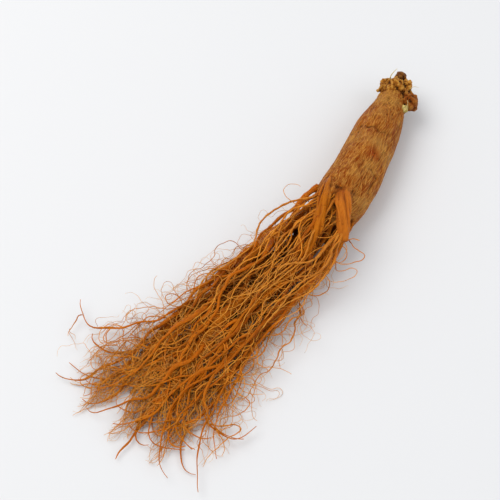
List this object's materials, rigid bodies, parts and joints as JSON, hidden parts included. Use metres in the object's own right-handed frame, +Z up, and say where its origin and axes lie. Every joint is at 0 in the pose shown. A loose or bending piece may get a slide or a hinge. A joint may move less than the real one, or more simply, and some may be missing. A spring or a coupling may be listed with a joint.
{
  "type": "red ginseng root",
  "caption": "Whole dried red ginseng root lying on its side, with a knobbed head, a barrel body, forked legs and a long brush of fine wavy rootlets.",
  "frame": {"origin": "centre of the footprint, on the surface that the root lies on", "axes": "+X along the root towards its head, +Z up, and +Y to the left when looking towards the head from above"},
  "size_m": [0.177, 0.0742, 0.0184],
  "materials": {
    "root_skin": "dry wrinkled tan-brown skin, turning to glossy translucent amber on the legs and rootlets"
  },
  "bodies": {
    "root": {"ginseng_root": "root_skin"}
  },
  "joints": []
}
